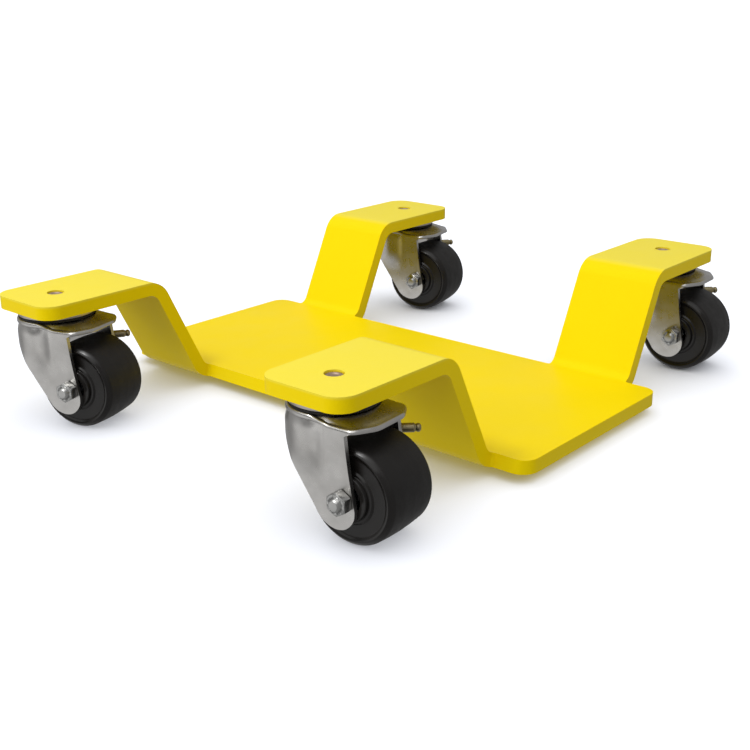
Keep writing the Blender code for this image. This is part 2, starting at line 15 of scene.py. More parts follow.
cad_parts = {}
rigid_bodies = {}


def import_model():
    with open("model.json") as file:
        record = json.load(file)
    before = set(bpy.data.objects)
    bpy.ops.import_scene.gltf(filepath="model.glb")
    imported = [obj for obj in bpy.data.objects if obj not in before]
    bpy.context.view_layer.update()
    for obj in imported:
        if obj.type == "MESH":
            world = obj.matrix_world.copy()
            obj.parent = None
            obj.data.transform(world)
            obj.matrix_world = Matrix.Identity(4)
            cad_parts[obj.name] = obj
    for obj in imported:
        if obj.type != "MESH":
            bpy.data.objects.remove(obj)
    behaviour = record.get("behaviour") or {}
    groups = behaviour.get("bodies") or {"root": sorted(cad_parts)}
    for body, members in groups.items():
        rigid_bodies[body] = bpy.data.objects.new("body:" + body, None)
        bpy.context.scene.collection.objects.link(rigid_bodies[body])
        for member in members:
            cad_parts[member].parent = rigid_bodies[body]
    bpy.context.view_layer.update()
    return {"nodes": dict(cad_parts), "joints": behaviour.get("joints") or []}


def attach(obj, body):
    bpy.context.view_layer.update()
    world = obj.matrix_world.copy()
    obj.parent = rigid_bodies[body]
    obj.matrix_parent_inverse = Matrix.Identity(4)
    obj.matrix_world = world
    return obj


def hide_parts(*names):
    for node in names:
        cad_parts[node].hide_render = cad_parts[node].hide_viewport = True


MM = 0.001
WELD = 0.001 * MM               # points closer than this are one point
LAID_ALONG_Y = Matrix.Rotation(math.radians(-90), 4, "X")       # turns +Z to +Y

# --- sizes shared with the CAD model -------------------------------------------
FLOOR = -17.0 * MM
PLATE_THICKNESS = 10.0 * MM
PAD_TOP = 79.0 * MM
RAMP_FOOT_X = 92.0 * MM
RAMP_HEAD_X = 130.5 * MM
BEND_RADIUS = 10.0 * MM
PAD_END_X = 233.5 * MM
ARM_WIDTH = 68.0 * MM
DECK_HALF_WIDTH = 88.5 * MM
DECK_HALF_LENGTH = 202.0 * MM
PAD_CORNER_RADIUS = 14.0 * MM
LIP_CORNER_RADIUS = 12.0 * MM
ARM_ROOT_RADIUS = 2.5 * MM
STUD_HOLE_RADIUS = 6.3 * MM
CASTER_X = 202.0 * MM
CASTER_Y = 140.0 * MM
CORNERS = {"front_left": (-1, -1), "back_left": (-1, 1),
           "front_right": (1, -1), "back_right": (1, 1)}
WHEEL_RADIUS = 31.75 * MM
TRAIL = 25.9 * MM
LEG_FACE = 27.0 * MM            # outer face of a fork leg, from the swivel's plane
FORK_THICKNESS = 3.0 * MM
AXLE_RADIUS = 4.0 * MM
NUT_FACE = LEG_FACE + 0.3 * MM  # the nut and the bolt's head bear here, clear of the leg
HEX_ACROSS_FLATS = 13.0 * MM    # of the M8 nut and head
NIPPLE_PLACE = Vector((24.8 * MM, 0, 57.5 * MM))


# --- mesh helpers ----------------------------------------------------------------

def millimetres(corners):
    """Outline corners given in millimetres, in metres."""
    return [tuple(number * MM for number in corner) for corner in corners]


def fillet(corners, closed=True, segments=6):
    """Points along an outline of (x, y, radius) corners, each rounded by a tangent arc."""
    points = []
    count = len(corners)
    for index, (x, y, radius) in enumerate(corners):
        corner = Vector((x, y))
        if radius == 0 or (not closed and index in (0, count - 1)):
            points.append(corner)
            continue
        to_before = (Vector(corners[index - 1][:2]) - corner).normalized()
        to_after = (Vector(corners[(index + 1) % count][:2]) - corner).normalized()
        half_angle = to_before.angle(to_after) / 2
        centre = corner + (to_before + to_after).normalized() * (radius / math.sin(half_angle))
        start = corner + to_before * (radius / math.tan(half_angle)) - centre
        end = corner + to_after * (radius / math.tan(half_angle)) - centre
        turn = start.angle_signed(end)
        for step in range(segments + 1):
            arm = start.copy()
            arm.rotate(Matrix.Rotation(-turn * step / segments, 2))
            points.append(centre + arm)
    return points


def new_piece(name, bm):
    """An object from a bmesh, with its faces pointing out."""
    mesh = bpy.data.meshes.new(name)
    bmesh.ops.recalc_face_normals(bm, faces=bm.faces)
    bm.to_mesh(mesh)
    bm.free()
    obj = bpy.data.objects.new(name, mesh)
    bpy.context.scene.collection.objects.link(obj)
    return obj


def lathe(name, corners, steps=64, solid=False, segments=4):
    """Profile of (radius, z, fillet) corners turned about Z, with rounded corners.

    A solid's profile starts and ends on the axis; any other is a closed loop beside it.
    """
    profile = fillet(corners, closed=not solid, segments=segments)
    bm = bmesh.new()
    rings = []
    for point in profile:
        if point.x < WELD:
            rings.append([bm.verts.new((0, 0, point.y))])
            continue
        rings.append([
            bm.verts.new((point.x * math.cos(2 * math.pi * i / steps),
                          point.x * math.sin(2 * math.pi * i / steps), point.y))
            for i in range(steps)
        ])
    pairs = list(zip(rings, rings[1:]))
    if not solid:
        pairs.append((rings[-1], rings[0]))
    for upper, lower in pairs:
        for i in range(steps):
            j = (i + 1) % steps
            face = [upper[i % len(upper)], upper[j % len(upper)],
                    lower[j % len(lower)], lower[i % len(lower)]]
            face = list(dict.fromkeys(face))
            if len(face) > 2:
                bm.faces.new(face)
    return new_piece(name, bm)


def prism(name, outline, low, high):
    """A flat outline raised along Z."""
    bm = bmesh.new()
    base = bm.faces.new([bm.verts.new((point.x, point.y, low)) for point in outline])
    top = bmesh.ops.extrude_face_region(bm, geom=[base])
    raised = [item for item in top["geom"] if isinstance(item, bmesh.types.BMVert)]
    bmesh.ops.translate(bm, vec=(0, 0, high - low), verts=raised)
    return new_piece(name, bm)


def modified(obj, kind, **settings):
    """Apply one modifier and keep the result as a plain mesh."""
    modifier = obj.modifiers.new(kind, kind)
    for key, value in settings.items():
        setattr(modifier, key, value)
    depsgraph = bpy.context.evaluated_depsgraph_get()
    depsgraph.update()
    mesh = bpy.data.meshes.new_from_object(obj.evaluated_get(depsgraph))
    obj.modifiers.clear()
    obj.data = mesh
    return obj


def boolean(obj, other, operation):
    """Cut or keep by another object, which is used up."""
    modified(obj, "BOOLEAN", operation=operation, object=other)
    bpy.data.objects.remove(other, do_unlink=True)
    return obj


def joined(obj, others):
    """Add the other objects' meshes to a piece, and remove them."""
    bm = bmesh.new()
    bm.from_mesh(obj.data)
    for other in others:
        bm.from_mesh(other.data)
        bpy.data.objects.remove(other, do_unlink=True)
    bm.to_mesh(obj.data)
    bm.free()
    return obj


def rounded_edges(obj, width, angle=35, segments=2):
    """Round the edges sharper than the angle, and shade the rest smooth."""
    obj.data.shade_smooth()
    return modified(obj, "BEVEL", width=width, segments=segments, limit_method="ANGLE",
                    angle_limit=math.radians(angle), harden_normals=True, miter_outer="MITER_ARC")


def smooth(obj, angle=30):
    """Shade smooth, except across edges sharper than the angle."""
    obj.data.shade_smooth()
    obj.data.set_sharp_from_angle(angle=math.radians(angle))
    return obj


# --- materials ---------------------------------------------------------------------

class Nodes:
    """A material's node tree, with short ways to add the nodes used here.

    A noise's scale is in features per metre, and a bump's distance is in metres.
    """

    def __init__(self, material):
        material.use_nodes = True
        self.tree = material.node_tree
        self.shader = self.tree.nodes["Principled BSDF"]
        coordinates = self.tree.nodes.new("ShaderNodeTexCoord")
        self.place = coordinates.outputs["Object"]

    def link(self, source, target):
        self.tree.links.new(source, target)

    def stretched(self, scale):
        node = self.tree.nodes.new("ShaderNodeMapping")
        node.inputs["Scale"].default_value = scale
        self.link(self.place, node.inputs["Vector"])
        return node.outputs["Vector"]

    def noise(self, scale, detail=3.0, roughness=0.5, vector=None):
        node = self.tree.nodes.new("ShaderNodeTexNoise")
        node.inputs["Scale"].default_value = scale
        node.inputs["Detail"].default_value = detail
        node.inputs["Roughness"].default_value = roughness
        self.link(vector or self.place, node.inputs["Vector"])
        return node.outputs["Fac"]

    def height(self):
        """The place's Z; in a wheel's own frame, its distance from the middle of the tread."""
        node = self.tree.nodes.new("ShaderNodeSeparateXYZ")
        self.link(self.place, node.inputs["Vector"])
        return node.outputs["Z"]

    def absolute(self, value):
        node = self.tree.nodes.new("ShaderNodeMath")
        node.operation = "ABSOLUTE"
        self.link(value, node.inputs[0])
        return node.outputs["Value"]

    def spread(self, value, low, high, from_low=0.3, from_high=0.7):
        """Map a range, by default the middle of a noise, to low..high."""
        node = self.tree.nodes.new("ShaderNodeMapRange")
        for key, number in (("From Min", from_low), ("From Max", from_high),
                            ("To Min", low), ("To Max", high)):
            node.inputs[key].default_value = number
        self.link(value, node.inputs["Value"])
        return node.outputs["Result"]

    def between(self, factor, first, second):
        """A number between two others."""
        node = self.tree.nodes.new("ShaderNodeMix")
        self.link(factor, node.inputs["Factor"])
        self.link(first, node.inputs["A"])
        self.link(second, node.inputs["B"])
        return node.outputs["Result"]

    def blend(self, factor, first, second):
        """A colour between two others, each a plain colour or a node's output."""
        node = self.tree.nodes.new("ShaderNodeMix")
        node.data_type = "RGBA"
        self.link(factor, node.inputs["Factor"])
        for socket, color in ((node.inputs["A"], first), (node.inputs["B"], second)):
            if isinstance(color, tuple):
                socket.default_value = (*color, 1.0)
            else:
                self.link(color, socket)
        return node.outputs["Result"]

    def bump(self, height, distance, strength=1.0, normal=None):
        node = self.tree.nodes.new("ShaderNodeBump")
        node.inputs["Distance"].default_value = distance
        node.inputs["Strength"].default_value = strength
        self.link(height, node.inputs["Height"])
        if normal:
            self.link(normal, node.inputs["Normal"])
        return node.outputs["Normal"]

    def surface(self, color, roughness, normal=None, **constants):
        self.link(color, self.shader.inputs["Base Color"])
        self.link(roughness, self.shader.inputs["Roughness"])
        if normal:
            self.link(normal, self.shader.inputs["Normal"])
        for key, number in constants.items():
            self.shader.inputs[key.replace("_", " ")].default_value = number


def powder_coat():
    """Cured yellow powder with a faint mottle and fine orange peel; the tops of the pads are made
    paler by a painted sheen.
    """
    deep_yellow, clear_yellow = (0.89, 0.665, 0.001), (0.93, 0.695, 0.002)
    # the paler yellow of the pads' tops is a painted sheen, the same paint lit by the overhead
    # light
    pad_sheen_yellow = (0.88, 0.73, 0.055)
    speck_yellow = (0.98, 0.80, 0.02)
    gloss_tint = (1.0, 0.84, 0.12, 1.0)
    material = bpy.data.materials.new("powder_coat")
    nodes = Nodes(material)
    mottle = nodes.noise(9.0, 4.0)
    grain = nodes.noise(700.0, 2.0)
    color = nodes.blend(nodes.spread(mottle, 0, 1), deep_yellow, clear_yellow)
    # painted sheen: near the pad tops' height the colour is blended to the paler yellow
    painted_sheen_on_pad = nodes.spread(nodes.height(), 0, 1, PAD_TOP - 2 * MM, PAD_TOP - 0.2 * MM)
    color = nodes.blend(painted_sheen_on_pad, color, pad_sheen_yellow)
    color = nodes.blend(nodes.spread(grain, 0, 0.08), color, speck_yellow)
    roughness = nodes.spread(nodes.noise(35.0, 5.0), 0.36, 0.46)
    peel = nodes.bump(nodes.noise(420.0, 2.0, 0.4), 0.06 * MM)
    peel = nodes.bump(grain, 0.02 * MM, 1.0, peel)
    nodes.surface(color, roughness, peel, IOR=1.2, Specular_Tint=gloss_tint)
    return material


def plated_steel(name, dark, light, rough_low, rough_high):
    """Satin plated steel: cloudy passivation over fine marks from rolling and tumbling."""
    rolled_along = (60.0, 60.0, 900.0)
    material = bpy.data.materials.new(name)
    nodes = Nodes(material)
    cloud = nodes.noise(45.0, 4.0)
    marks = nodes.noise(1.0, 3.0, 0.6, nodes.stretched(rolled_along))
    color = nodes.blend(nodes.spread(cloud, 0, 1), dark, light)
    roughness = nodes.spread(nodes.noise(150.0, 5.0, 0.6), rough_low, rough_high)
    normal = nodes.bump(marks, 0.01 * MM, 0.6)
    normal = nodes.bump(nodes.noise(1600.0, 2.0), 0.008 * MM, 0.8, normal)
    nodes.surface(color, roughness, normal, Metallic=1.0)
    return material


def moulded_black():
    """Hard black nylon: satin faces as moulded, and a tread that rolling has made duller."""
    dark, light = (0.0058, 0.0048, 0.0042), (0.0088, 0.0073, 0.0065)
    tread_end, face_start = 18.5 * MM, 20.5 * MM
    material = bpy.data.materials.new("moulded_black")
    nodes = Nodes(material)
    cloud = nodes.noise(60.0, 5.0)
    color = nodes.blend(nodes.spread(cloud, 0, 1), dark, light)
    on_face = nodes.spread(nodes.absolute(nodes.height()), 0, 1, tread_end, face_start)
    scuffs = nodes.noise(110.0, 6.0, 0.65)
    tread = nodes.spread(scuffs, 0.46, 0.62)
    satin = nodes.spread(scuffs, 0.17, 0.27)
    normal = nodes.bump(nodes.noise(1300.0, 3.0), 0.02 * MM, 0.6)
    nodes.surface(color, nodes.between(on_face, tread, satin), normal, Specular_IOR_Level=0.3)
    return material


def black_rubber():
    """Matt seal rubber."""
    dark, light = (0.010, 0.009, 0.008), (0.022, 0.020, 0.018)
    material = bpy.data.materials.new("black_rubber")
    nodes = Nodes(material)
    color = nodes.blend(nodes.spread(nodes.noise(180.0, 4.0), 0, 1), dark, light)
    roughness = nodes.spread(nodes.noise(300.0, 4.0), 0.6, 0.8)
    nodes.surface(color, roughness, nodes.bump(nodes.noise(900.0, 3.0), 0.03 * MM))
    return material


# --- plate ---------------------------------------------------------------------------

def bend_line(facets):
    """Stations along half the plate's middle surface: (developed length, x, z, angle)."""
    half = PLATE_THICKNESS / 2
    radius = BEND_RADIUS + half
    slope = math.atan2(PAD_TOP, RAMP_HEAD_X - RAMP_FOOT_X)
    shift = half * math.tan(slope / 2)
    tangent = radius * math.tan(slope / 2)
    foot = Vector((RAMP_FOOT_X + shift, -half))
    head = Vector((RAMP_HEAD_X + shift, PAD_TOP - half))
    stations = [(foot.x - tangent, foot.x - tangent, foot.y, 0.0)]
    for corner, turn in ((foot, slope), (head, -slope)):
        length, x, z, angle = stations[-1]
        entry = corner - tangent * Vector((math.cos(angle), math.sin(angle)))
        length += (entry - Vector((x, z))).length
        if length > stations[-1][0] + 10 * WELD:
            stations.append((length, entry.x, entry.y, angle))
        side = math.copysign(1, turn)
        centre = entry + side * radius * Vector((-math.sin(angle), math.cos(angle)))
        for step in range(1, facets + 1):
            now = angle + turn * step / facets
            place = centre - side * radius * Vector((-math.sin(now), math.cos(now)))
            arc = abs(turn) * radius * step / facets
            stations.append((length + arc, place.x, place.y, now))
    length, x, z, _ = stations[-1]
    stations.append((length + PAD_END_X - x, PAD_END_X, z, 0.0))
    return stations


def bent(point, line):
    """Move a point of the flat blank (developed x, y, height off the middle) to its bent place."""
    length = abs(point.x)
    for before, after in zip(line, line[1:]):
        if length <= after[0] + WELD:
            break
    share = min((length - before[0]) / (after[0] - before[0]), 1.0)
    ends = [Vector((x - point.z * math.sin(angle), z + point.z * math.cos(angle)))
            for _, x, z, angle in (before, after)]
    place = ends[0].lerp(ends[1], share)
    return Vector((math.copysign(place.x, point.x), point.y, place.y))


def blank_outline(end):
    """Outline of the flat blank, whose arms reach out to X = end and -end."""
    inner = CASTER_Y - ARM_WIDTH / 2
    outer = CASTER_Y + ARM_WIDTH / 2
    quarter = [
        (DECK_HALF_WIDTH, inner, ARM_ROOT_RADIUS),
        (end, inner, PAD_CORNER_RADIUS),
        (end, outer, PAD_CORNER_RADIUS),
        (DECK_HALF_WIDTH, outer, ARM_ROOT_RADIUS),
        (DECK_HALF_WIDTH, DECK_HALF_LENGTH, LIP_CORNER_RADIUS),
    ]
    corners = quarter + [(-x, y, r) for x, y, r in reversed(quarter)]
    corners += [(-x, -y, r) for x, y, r in quarter]
    corners += [(x, -y, r) for x, y, r in reversed(quarter)]
    return fillet(corners, segments=12)


def plate():
    """Flat blank cut across at each bend station, bent, and drilled for the studs."""
    stations = bend_line(facets=18)
    half = PLATE_THICKNESS / 2
    obj = prism("powder_coated_plate", blank_outline(stations[-1][0]), -half, half)
    bm = bmesh.new()
    bm.from_mesh(obj.data)
    for station in stations[:-1]:
        for side in (1, -1):
            geometry = bm.verts[:] + bm.edges[:] + bm.faces[:]
            bmesh.ops.bisect_plane(bm, geom=geometry, dist=WELD,
                                   plane_co=(side * station[0], 0, 0), plane_no=(1, 0, 0))
    line = [(0.0, 0.0, stations[0][2], 0.0)] + stations
    for vert in bm.verts:
        vert.co = bent(vert.co, line)
    bmesh.ops.remove_doubles(bm, verts=bm.verts, dist=WELD)
    bm.to_mesh(obj.data)
    bm.free()
    drill_top = 200 * MM
    for side_x, side_y in CORNERS.values():
        drill = lathe("drill", [(0, drill_top, 0), (STUD_HOLE_RADIUS, drill_top, 0),
                                (STUD_HOLE_RADIUS, 0, 0), (0, 0, 0)], solid=True)
        drill.location = (side_x * CASTER_X, side_y * CASTER_Y, 0)
        boolean(obj, drill, "DIFFERENCE")
    return rounded_edges(obj, 0.9 * MM, angle=40, segments=3)


# --- fork ------------------------------------------------------------------------------

BORE_RADIUS = 8.3 * MM          # of the crown and the top race
CROWN_TOP = 80.5 * MM
CROWN_RADIUS = 29.6 * MM        # round back and sides of the crown
CROWN_RINGS = (BORE_RADIUS, 12 * MM, 16 * MM, 20 * MM)
RIM_RADIUS = 25.0 * MM          # the crown's top is flat up to here
FRONT_FALL = 4.2 * MM           # and slopes down by this much to its front edge
FALL_START_X, FALL_SPAN = 3 * MM, 14 * MM
NECK_END_X, NECK_SPAN = 12 * MM, 11 * MM        # the groove fades out here, towards the front
LIP_INSET = 0.35 * MM           # of the disc above the groove
GROOVE_TOP = 77.3 * MM          # the groove runs under the disc, round the back and sides
FLARE_TOP = 76.3 * MM           # below this the groove's wall flares out to the lower edge
GROOVE_DEPTH = 1.7 * MM
FRONT_X = 41.5 * MM
FLAT_END_X = math.sqrt(CROWN_RADIUS ** 2 - LEG_FACE ** 2)   # where a leg turns flat
LEG_SPAN = (27.5 * MM, -27.0 * MM)      # a leg's trailing and leading edge at its top
BULGE_LOW = 38 * MM             # a leg is flat below this height
BULGE_RISE = 22 * MM            # and takes on the crown's round side over this rise

# columns of points along half the crown's outline, from the middle of its front
FRONT_COLUMNS = 24
LEG_COLUMNS = 34
BACK_COLUMNS = 14
LEG_START = FRONT_COLUMNS
LEG_END = FRONT_COLUMNS + LEG_COLUMNS
LEG_ROWS = 26

# heights of the crown's lower edge, in millimetres
TRAILING_TOP = 71.4
LEADING_TOP = 69.0
FRONT_TOP = 73.6
BACK_ARCH = 3.6
FRONT_ARCH_COLUMNS = 4          # the front's edge is level from this many columns off a leg

# side view of a leg's edges, from the crown down, in millimetres
LEADING_EDGE = [(-27.0, 69.0), (-23.4, 63.5), (-18.5, 57.8), (-14.2, 52.0), (-8.1, 42.4),
                (-2.4, 34.0), (3.6, 25.4), (5.3, 23.1)]
TRAILING_EDGE = [(27.5, 71.4), (27.9, 68.0), (28.6, 62.0), (29.9, 52.0), (31.2, 44.0),
                 (33.2, 33.0), (34.4, 26.6)]
FOOT_EDGE = [(5.3, 23.1), (9.6, 17.0), (14.9, 13.6), (21.0, 12.4), (26.8, 13.7), (31.4, 17.5),
             (33.9, 22.0), (34.4, 26.6)]


def ease(value):
    """0 below 0, 1 above 1, and a smooth step between."""
    value = min(max(value, 0.0), 1.0)
    return value * value * (3 - 2 * value)


def spaced(points, count):
    """Points spread evenly by length along a polyline."""
    lengths = [0.0]
    for first, second in zip(points, points[1:]):
        lengths.append(lengths[-1] + (second - first).length)
    found = []
    index = 0
    for step in range(count + 1):
        target = lengths[-1] * step / count
        while index < len(points) - 2 and lengths[index + 1] < target:
            index += 1
        share = (target - lengths[index]) / (lengths[index + 1] - lengths[index])
        found.append(points[index].lerp(points[index + 1], share))
    return found


def curve_through(knots, per_span=8):
    """Smooth (Catmull-Rom) curve through points given in millimetres."""
    knots = [Vector(knot) * MM for knot in knots]
    ends = [2 * knots[0] - knots[1]] + knots + [2 * knots[-1] - knots[-2]]
    points = []
    for a, b, c, d in zip(ends, ends[1:], ends[2:], ends[3:]):
        for step in range(per_span):
            t = step / per_span
            points.append(0.5 * (2 * b + (c - a) * t + (2 * a - 5 * b + 4 * c - d) * t * t
                                 + (3 * b - a - 3 * c + d) * t ** 3))
    return points + [knots[-1]]


def crown_plan():
    """Half the crown's outline, from the middle of the front over the side to the back."""
    outline = fillet([
        (FRONT_X, 0, 0), (FRONT_X, 13 * MM, 14 * MM), (33 * MM, LEG_FACE, 7 * MM),
        (FLAT_END_X, LEG_FACE, 0),
    ], closed=False, segments=16)
    turn = math.asin(LEG_FACE / CROWN_RADIUS)
    arc_steps = 60
    for step in range(1, arc_steps + 1):
        angle = turn + (math.pi - turn) * step / arc_steps
        outline.append(Vector((CROWN_RADIUS * math.cos(angle), CROWN_RADIUS * math.sin(angle))))
    outline = spaced(outline, 600)
    trailing, leading = LEG_SPAN
    front = [point for point in outline if point.x >= trailing]
    leg = [point for point in outline if leading < point.x < trailing]
    back = [point for point in outline if point.x <= leading]
    front = spaced(front, FRONT_COLUMNS)
    leg = spaced([front[-1]] + leg + [back[0]], LEG_COLUMNS)
    back = spaced(back, BACK_COLUMNS)
    return front[:-1] + leg + back[1:]


def rim_bottom(i, count, leg_share):
    """Height of the crown's lower edge: sloping over a leg, and arched between the legs."""
    if i in leg_share:
        return (TRAILING_TOP - (TRAILING_TOP - LEADING_TOP) * leg_share[i]) * MM
    if LEG_START < i < count - LEG_START:
        gap = min(i - LEG_END, count - LEG_END - i) / BACK_COLUMNS
        return (LEADING_TOP + BACK_ARCH * (1 - (1 - gap) ** 2)) * MM
    gap = min(abs(i - LEG_START), abs(i - (count - LEG_START))) / FRONT_ARCH_COLUMNS
    return (FRONT_TOP - (FRONT_TOP - TRAILING_TOP) * (1 - min(gap, 1)) ** 2.4) * MM


def crown_column(edge, inward, bottom):
    """Points of the outer and the inner skin, from the bore outwards and down to the lower edge."""
    ray = edge.normalized()
    fall = FRONT_FALL * ease((edge.x - FALL_START_X) / FALL_SPAN)
    neck = ease((NECK_END_X - edge.x) / NECK_SPAN)      # 1 where the groove is at its full depth
    roll = (2.3 - 0.5 * neck) * MM                      # radius of the rolled edge
    edge_top = CROWN_TOP - 0.2 * MM - fall
    outer = [(*(ray * radius), CROWN_TOP) for radius in (*CROWN_RINGS, 23 * MM)]
    roll_start = edge + inward * (LIP_INSET * neck + roll)
    rim = ray * RIM_RADIUS
    steps = 8
    for step in range(steps + 1):
        t = step / steps
        drop = t ** 1.2 if fall > 0.5 * MM else ease(t)
        outer.append((*rim.lerp(roll_start, t), CROWN_TOP + (edge_top - CROWN_TOP) * drop))
    for step in range(1, steps + 1):
        turn = math.pi / 2 * step / steps
        place = roll_start - inward * roll * math.sin(turn)
        outer.append((*place, edge_top - roll * (1 - math.cos(turn))))
    wall_top = edge_top - roll
    middle = max(min(74.8 * MM, wall_top - 0.3 * MM), bottom + 0.15 * MM)
    heights = [wall_top + (middle - wall_top) * k / 10 for k in range(1, 11)]
    heights += [middle + (bottom - middle) * k / 4 for k in range(1, 5)]
    for z in heights:
        under = ease((GROOVE_TOP - z) / (1.0 * MM))
        rise = max(min((z - bottom) / (FLARE_TOP - bottom), 1.0), 0.0)
        inset = neck * (LIP_INSET * (1 - under) + GROOVE_DEPTH * rise ** 1.6 * under)
        outer.append((*(edge + inward * inset), z))

    ceiling = CROWN_TOP - FORK_THICKNESS
    wall = edge + inward * FORK_THICKNESS
    inner = [(*(ray * radius), ceiling) for radius in CROWN_RINGS]
    start = ray * 22 * MM
    for step in range(steps + 1):
        t = step / steps
        inner.append((*start.lerp(wall, t), ceiling - fall * t - 0.9 * MM * t ** 6))
    low = inner[-1][2]
    wall_steps = 6
    for step in range(1, wall_steps + 1):
        inner.append((*wall, low + (min(bottom, low) - low) * step / wall_steps))
    return outer, inner


def leg_face(u, z):
    """Y of a leg's outer face: it bulges round the swivel head and is flat at the axle."""
    if u > FLAT_END_X:
        return LEG_FACE
    bulge = math.sqrt(max(CROWN_RADIUS ** 2 - u * u, 0.0))
    flat = min(LEG_FACE, bulge)
    return flat + (bulge - flat) * ease((z - BULGE_LOW) / BULGE_RISE)


def add_leg(bm, side, above):
    """Both skins of a leg: a patch between the crown, its two edges and its foot.

    above holds the outer and the inner skin's vertices along the crown's lower edge.
    """
    top = [Vector((vert.co.x, vert.co.z)) for vert in above[0]]
    leading = spaced(curve_through(LEADING_EDGE), LEG_ROWS)
    trailing = spaced(curve_through(TRAILING_EDGE), LEG_ROWS)
    trailing[0], leading[0] = top[0], top[-1]
    foot = list(reversed(spaced(curve_through(FOOT_EDGE), LEG_COLUMNS)))
    nudge = 0.05 * MM
    for row in range(1, LEG_ROWS + 1):
        b = row / LEG_ROWS
        below = ([], [])
        for column in range(LEG_COLUMNS + 1):
            a = column / LEG_COLUMNS
            u, z = (top[column].lerp(foot[column], b) + trailing[row].lerp(leading[row], a)
                    - top[0].lerp(top[-1], a).lerp(foot[0].lerp(foot[-1], a), b))
            y = leg_face(u, z)
            along = Vector((2 * nudge, leg_face(u + nudge, z) - leg_face(u - nudge, z)))
            along.normalize()
            inner = Vector((u, y)) + Vector((along.y, -along.x)) * FORK_THICKNESS
            below[0].append(bm.verts.new((u, y * side, z)))
            below[1].append(bm.verts.new((inner.x, inner.y * side, z)))
        for upper, lower in zip(above, below):
            for k in range(LEG_COLUMNS):
                bm.faces.new((upper[k], upper[k + 1], lower[k + 1], lower[k]))
        for k in (0, LEG_COLUMNS):
            bm.faces.new((above[0][k], above[1][k], below[1][k], below[0][k]))
        above = below
    for k in range(LEG_COLUMNS):
        bm.faces.new((above[0][k], above[0][k + 1], above[1][k + 1], above[1][k]))


def fork():
    """Pressed fork: a dished crown with a rolled rim, and two legs drawn down from it.

    The outer and the inner skin are grids with the same columns, joined at their borders.
    """
    half_plan = crown_plan()
    plan = half_plan + [Vector((point.x, -point.y)) for point in reversed(half_plan[1:-1])]
    count = len(plan)
    near_leg = list(range(LEG_START, LEG_END + 1))
    far_leg = [count - i for i in near_leg]
    leg_share = {leg[step]: step / LEG_COLUMNS
                 for leg in (near_leg, far_leg) for step in range(LEG_COLUMNS + 1)}
    bm = bmesh.new()
    columns = []
    for i, edge in enumerate(plan):
        along = plan[(i + 1) % count] - plan[i - 1]
        inward = Vector((-along.y, along.x)).normalized()
        columns.append(crown_column(edge, inward, rim_bottom(i, count, leg_share)))
    outers = [[bm.verts.new(point) for point in outer] for outer, _ in columns]
    inners = [[bm.verts.new(point) for point in inner] for _, inner in columns]
    for skin in (outers, inners):
        for column, following in zip(skin, skin[1:] + skin[:1]):
            for k in range(len(column) - 1):
                bm.faces.new((column[k], following[k], following[k + 1], column[k + 1]))
    for i in range(count):
        j = (i + 1) % count
        bm.faces.new((outers[i][0], outers[j][0], inners[j][0], inners[i][0]))
        if not (i in leg_share and j in leg_share):
            bm.faces.new((outers[i][-1], outers[j][-1], inners[j][-1], inners[i][-1]))
    for side, leg in ((1, near_leg), (-1, far_leg)):
        add_leg(bm, side, ([outers[i][-1] for i in leg], [inners[i][-1] for i in leg]))
    bmesh.ops.remove_doubles(bm, verts=bm.verts, dist=2 * WELD)
    return rounded_edges(new_piece("fork", bm), 0.45 * MM, angle=50, segments=2)


# --- swivel head ------------------------------------------------------------------------

def top_race():
    """Pressed disc under the pad, with a ball track in its lower face."""
    return smooth(lathe("top_race", millimetres([
        (8.3, 85.7, 0), (28.5, 85.7, 0.9), (28.5, 82.3, 0.6), (26.4, 81.95, 0.4),
        (23.9, 81.95, 0.2), (23.5, 82.5, 0.2), (22.1, 82.5, 0), (21.2, 83.6, 1.0),
        (18.8, 83.6, 1.0), (17.9, 82.5, 0), (8.3, 82.5, 0),
    ]), steps=96))


def dust_seal():
    """Rubber ring with a lip that wipes the crown."""
    return smooth(lathe("dust_seal", millimetres([
        (24.6, 81.8, 0), (27.9, 81.8, 0.3), (27.6, 81.3, 0.2), (28.4, 80.5, 0.2),
        (27.4, 80.55, 0.1), (26.2, 81.0, 0.2), (24.6, 81.0, 0),
    ]), steps=96))


def kingpin():
    """Stud with a riveted end: a shallow dish inside a rounded, slightly spread rim."""
    return smooth(lathe("kingpin", millimetres([
        (0, 94.2, 0), (2.6, 94.3, 1.0), (3.9, 95.1, 0.7), (5.9, 94.8, 0.7), (6.0, 85.7, 0),
        (8.0, 85.7, 0), (8.0, 72.4, 0.3), (6.0, 72.4, 0), (6.0, 63.3, 0.2), (5.2, 62.5, 0.2),
        (0, 62.5, 0),
    ]), steps=48, solid=True))


# --- axle and wheel -------------------------------------------------------------------------

def chamfered_hex(name, across_flats, low, high, both_ends=True):
    """Hexagon whose corners are cut by a cone at its free ends."""
    corner = across_flats / 2 / math.cos(math.radians(30))
    outline = [Vector((corner * math.cos(math.radians(60 * i + 30)),
                       corner * math.sin(math.radians(60 * i + 30)))) for i in range(6)]
    body = prism(name, outline, low, high)
    inset = across_flats / 2 * 0.95
    rise = (corner - inset) * math.tan(math.radians(30))
    clear = corner + 0.01 * MM
    profile = [(0, high, 0), (inset, high, 0), (clear, high - rise, 0)]
    if both_ends:
        profile += [(clear, low + rise, 0), (inset, low, 0)]
    else:
        profile += [(clear, low, 0)]
    profile += [(0, low, 0)]
    body = boolean(body, lathe("cone", profile, steps=48, solid=True), "INTERSECT")
    return rounded_edges(body, 0.14 * MM, angle=20, segments=2)


